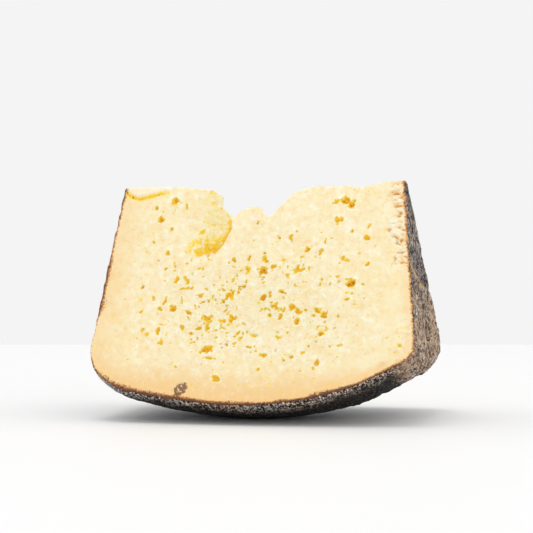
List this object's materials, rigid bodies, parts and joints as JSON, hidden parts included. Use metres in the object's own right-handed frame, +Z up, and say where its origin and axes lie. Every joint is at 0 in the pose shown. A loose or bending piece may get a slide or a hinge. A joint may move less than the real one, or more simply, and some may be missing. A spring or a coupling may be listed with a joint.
{
  "type": "cheese wheel wedge",
  "caption": "Wedge cut from a small tall wheel of holed cheese with a rough dark rind, standing on its rim with a broken crest.",
  "frame": {"origin": "on the surface the piece stands on, under the middle of its box", "axes": "+X along the crest, which is along the axis of the whole wheel; -Y towards the cut face with the flake out of it; +Z up, from the rim to the crest"},
  "size_m": [0.129, 0.0878, 0.0939],
  "materials": {
    "cheese": "moist pale yellow paste with small ragged eyes on both cut faces, tan towards the edge, under a dry near-black rind with grey and tan fibres"
  },
  "bodies": {
    "root": {"cheese_wedge": "cheese"}
  },
  "joints": []
}
